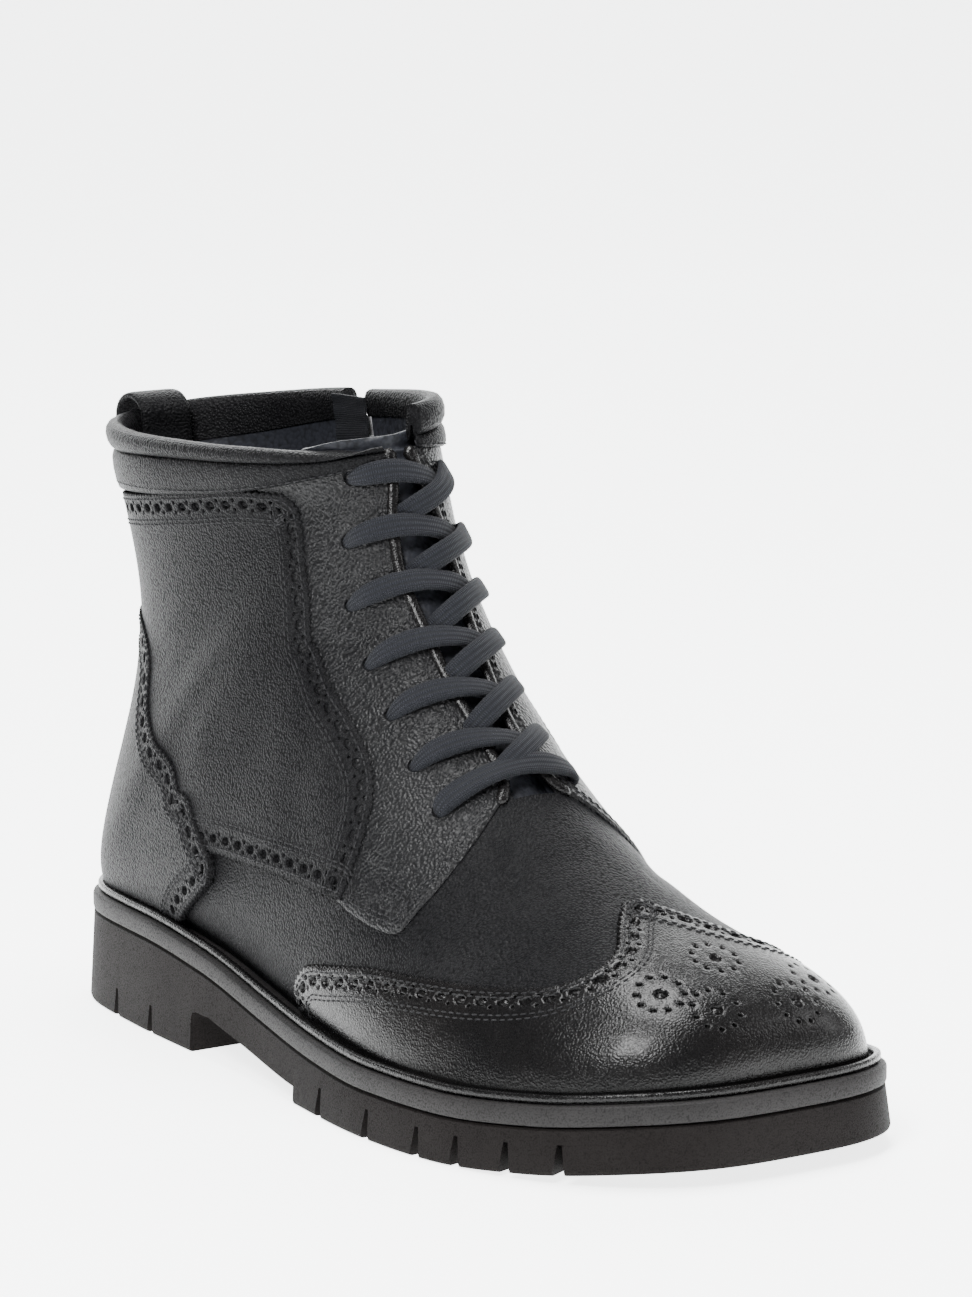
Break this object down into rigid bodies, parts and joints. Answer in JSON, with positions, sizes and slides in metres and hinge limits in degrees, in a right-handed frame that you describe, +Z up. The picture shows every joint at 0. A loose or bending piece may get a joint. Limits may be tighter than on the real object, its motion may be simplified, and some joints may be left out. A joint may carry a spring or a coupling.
{
  "type": "ankle boot",
  "caption": "Right ankle boot, hollow, with a wing cap, brogue panels, laced throat, inner side zip with a hanging pull, and a lugged rubber sole with a heel.",
  "frame": {"origin": "centre of the boot's box on the ground under its sole", "axes": "toe towards -Y, heel towards +Y, inner side of the foot towards +X, outer side towards -X, +Z up"},
  "size_m": [0.1265, 0.3065, 0.1938],
  "materials": {
    "black_leather": "polished smooth leather with soft creases",
    "grained_leather": "pebbled leather, half gloss",
    "glossy_leather": "burnished leather, high gloss",
    "lining_leather": "soft dark lining leather, half matt",
    "sole_rubber": "matt moulded rubber",
    "ledge_rubber": "satin moulded rubber",
    "waxed_cotton": "flat woven waxed cotton",
    "dark_steel": "dark plated metal, satin"
  },
  "bodies": {
    "boot": {"upper": "black_leather", "counter": "black_leather", "rear_quarter_inner": "black_leather", "rear_quarter_outer": "black_leather", "cuff": "black_leather", "cuff_front": "black_leather", "collar_roll": "black_leather", "collar_roll_front": "black_leather", "pull_loop": "black_leather", "facing_inner": "grained_leather", "facing_outer": "grained_leather", "toe_cap": "glossy_leather", "welt": "glossy_leather", "outsole": "sole_rubber", "midsole": "ledge_rubber", "insole": "lining_leather", "tongue": "lining_leather", "lace_bar": "waxed_cotton", "lace_cross_1": "waxed_cotton", "lace_cross_2": "waxed_cotton", "lace_cross_3": "waxed_cotton", "lace_cross_4": "waxed_cotton", "lace_cross_5": "waxed_cotton", "lace_cross_6": "waxed_cotton", "zip_tape": "waxed_cotton", "zip_slider": "dark_steel"},
    "zip_pull": {"zip_pull": "dark_steel"}
  },
  "joints": [
    {"name": "zip_pull_hinge", "type": "hinge", "parent": "boot", "child": "zip_pull", "pos_m": [0.03127, 0.08252, 0.17585], "axis": [0.0204, -0.9811, 0.1925], "range_deg": [0, 150]}
  ]
}
